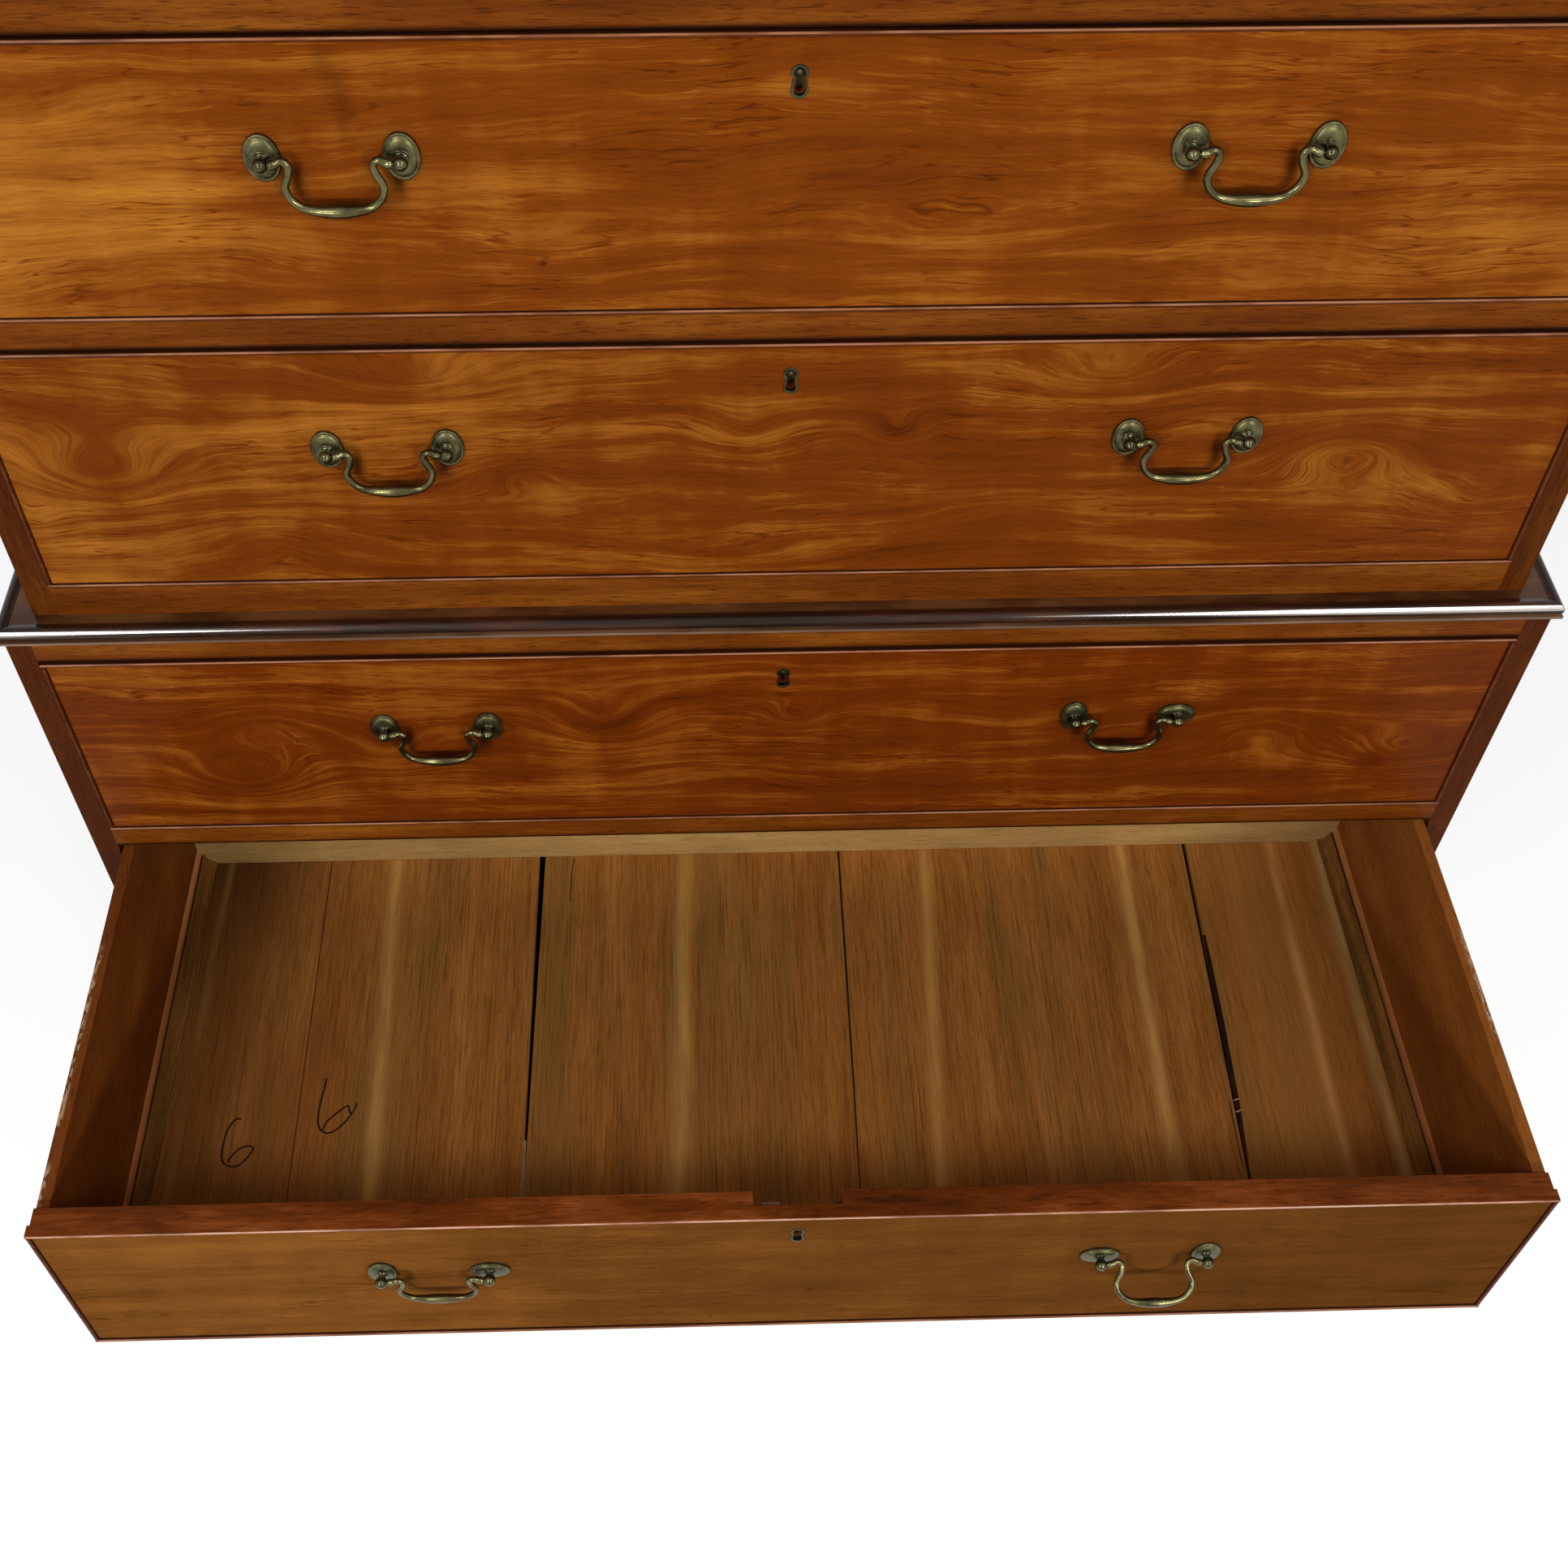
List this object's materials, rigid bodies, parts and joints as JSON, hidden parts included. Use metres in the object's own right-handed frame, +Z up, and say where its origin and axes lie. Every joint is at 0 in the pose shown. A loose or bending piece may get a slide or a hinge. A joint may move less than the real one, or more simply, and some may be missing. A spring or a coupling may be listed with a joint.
{
  "type": "chest-on-chest",
  "caption": "Two-part mahogany chest of drawers: a set-in upper case on a wider lower case, one drawer standing open, brass bail handles, bracket feet.",
  "frame": {"origin": "on the floor, at the centre of the footprint with the sixth drawer open as at rest", "axes": "+Z up, the drawers open towards -Y, +X to the right as seen from the front"},
  "size_m": [1.163, 0.896, 1.4855],
  "materials": {
    "mahogany_case": "satin",
    "mahogany_fronts": "satin",
    "mahogany_rails": "satin",
    "mahogany_drawer_sides": "matte",
    "brown_bottom_boards": "matte",
    "pale_inner_wood": "matte",
    "dark_moulding": "gloss",
    "old_brass": "aged satin"
  },
  "bodies": {
    "case": {"lower_side_left": "mahogany_case", "lower_side_right": "mahogany_case", "lower_top": "pale_inner_wood", "lower_bottom": "pale_inner_wood", "lower_back": "pale_inner_wood", "lower_rails": "mahogany_rails", "lower_runners": "pale_inner_wood", "waist_moulding": "dark_moulding", "base_moulding": "mahogany_case", "front_feet": "mahogany_case", "rear_feet": "mahogany_case", "upper_side_left": "mahogany_case", "upper_side_right": "mahogany_case", "upper_top": "pale_inner_wood", "upper_bottom": "pale_inner_wood", "upper_back": "pale_inner_wood", "upper_rails": "mahogany_rails", "upper_runners": "pale_inner_wood", "cornice": "mahogany_case"},
    "drawer_1": {"drawer_1_front": "mahogany_fronts", "drawer_1_box": "mahogany_drawer_sides", "drawer_1_bottom": "brown_bottom_boards", "drawer_1_brasses": "old_brass"},
    "drawer_2": {"drawer_2_front": "mahogany_fronts", "drawer_2_box": "mahogany_drawer_sides", "drawer_2_bottom": "brown_bottom_boards", "drawer_2_brasses": "old_brass"},
    "drawer_3": {"drawer_3_front": "mahogany_fronts", "drawer_3_box": "mahogany_drawer_sides", "drawer_3_bottom": "brown_bottom_boards", "drawer_3_brasses": "old_brass"},
    "drawer_4": {"drawer_4_front": "mahogany_fronts", "drawer_4_box": "mahogany_drawer_sides", "drawer_4_bottom": "brown_bottom_boards", "drawer_4_brasses": "old_brass"},
    "drawer_5": {"drawer_5_front": "mahogany_fronts", "drawer_5_box": "mahogany_drawer_sides", "drawer_5_bottom": "brown_bottom_boards", "drawer_5_brasses": "old_brass"},
    "drawer_6": {"drawer_6_front": "mahogany_fronts", "drawer_6_box": "mahogany_drawer_sides", "drawer_6_bottom": "brown_bottom_boards", "drawer_6_brasses": "old_brass"},
    "drawer_7": {"drawer_7_front": "mahogany_fronts", "drawer_7_box": "mahogany_drawer_sides", "drawer_7_bottom": "brown_bottom_boards", "drawer_7_brasses": "old_brass"},
    "bail_1": {"bail_1": "old_brass"},
    "bail_2": {"bail_2": "old_brass"},
    "bail_3_left": {"bail_3_left": "old_brass"},
    "bail_3_right": {"bail_3_right": "old_brass"},
    "bail_4_left": {"bail_4_left": "old_brass"},
    "bail_4_right": {"bail_4_right": "old_brass"},
    "bail_5_left": {"bail_5_left": "old_brass"},
    "bail_5_right": {"bail_5_right": "old_brass"},
    "bail_6_left": {"bail_6_left": "old_brass"},
    "bail_6_right": {"bail_6_right": "old_brass"},
    "bail_7_left": {"bail_7_left": "old_brass"},
    "bail_7_right": {"bail_7_right": "old_brass"}
  },
  "joints": [
    {"name": "slide_1", "type": "slide", "parent": "case", "child": "drawer_1", "axis": [0, -1, 0], "range_m": [0, 0.39]},
    {"name": "slide_2", "type": "slide", "parent": "case", "child": "drawer_2", "axis": [0, -1, 0], "range_m": [0, 0.39]},
    {"name": "slide_3", "type": "slide", "parent": "case", "child": "drawer_3", "axis": [0, -1, 0], "range_m": [0, 0.39]},
    {"name": "slide_4", "type": "slide", "parent": "case", "child": "drawer_4", "axis": [0, -1, 0], "range_m": [0, 0.39]},
    {"name": "slide_5", "type": "slide", "parent": "case", "child": "drawer_5", "axis": [0, -1, 0], "range_m": [0, 0.39]},
    {"name": "slide_6", "type": "slide", "parent": "case", "child": "drawer_6", "axis": [0, -1, 0], "range_m": [-0.342, 0.048]},
    {"name": "slide_7", "type": "slide", "parent": "case", "child": "drawer_7", "axis": [0, -1, 0], "range_m": [0, 0.39]},
    {"name": "swing_1", "type": "hinge", "parent": "drawer_1", "child": "bail_1", "pos_m": [-0.26275, -0.06604, 1.34975], "axis": [-1, 0, 0], "range_deg": [0, 150]},
    {"name": "swing_2", "type": "hinge", "parent": "drawer_2", "child": "bail_2", "pos_m": [0.26275, -0.06604, 1.34975], "axis": [-1, 0, 0], "range_deg": [0, 150]},
    {"name": "swing_3_left", "type": "hinge", "parent": "drawer_3", "child": "bail_3_left", "pos_m": [-0.261, -0.06604, 1.16698], "axis": [-1, 0, 0], "range_deg": [0, 150]},
    {"name": "swing_3_right", "type": "hinge", "parent": "drawer_3", "child": "bail_3_right", "pos_m": [0.261, -0.06604, 1.16698], "axis": [-1, 0, 0], "range_deg": [0, 150]},
    {"name": "swing_4_left", "type": "hinge", "parent": "drawer_4", "child": "bail_4_left", "pos_m": [-0.261, -0.06604, 0.96098], "axis": [-1, 0, 0], "range_deg": [0, 150]},
    {"name": "swing_4_right", "type": "hinge", "parent": "drawer_4", "child": "bail_4_right", "pos_m": [0.261, -0.06604, 0.96098], "axis": [-1, 0, 0], "range_deg": [0, 150]},
    {"name": "swing_5_left", "type": "hinge", "parent": "drawer_5", "child": "bail_5_left", "pos_m": [-0.261, -0.08104, 0.70695], "axis": [-1, 0, 0], "range_deg": [0, 150]},
    {"name": "swing_5_right", "type": "hinge", "parent": "drawer_5", "child": "bail_5_right", "pos_m": [0.261, -0.08104, 0.70695], "axis": [-1, 0, 0], "range_deg": [0, 150]},
    {"name": "swing_6_left", "type": "hinge", "parent": "drawer_6", "child": "bail_6_left", "pos_m": [-0.261, -0.42304, 0.4984], "axis": [-1, 0, 0], "range_deg": [0, 150]},
    {"name": "swing_6_right", "type": "hinge", "parent": "drawer_6", "child": "bail_6_right", "pos_m": [0.261, -0.42304, 0.4984], "axis": [-1, 0, 0], "range_deg": [-45, 105]},
    {"name": "swing_7_left", "type": "hinge", "parent": "drawer_7", "child": "bail_7_left", "pos_m": [-0.261, -0.08104, 0.28642], "axis": [-1, 0, 0], "range_deg": [0, 150]},
    {"name": "swing_7_right", "type": "hinge", "parent": "drawer_7", "child": "bail_7_right", "pos_m": [0.261, -0.08104, 0.28642], "axis": [-1, 0, 0], "range_deg": [0, 150]}
  ]
}
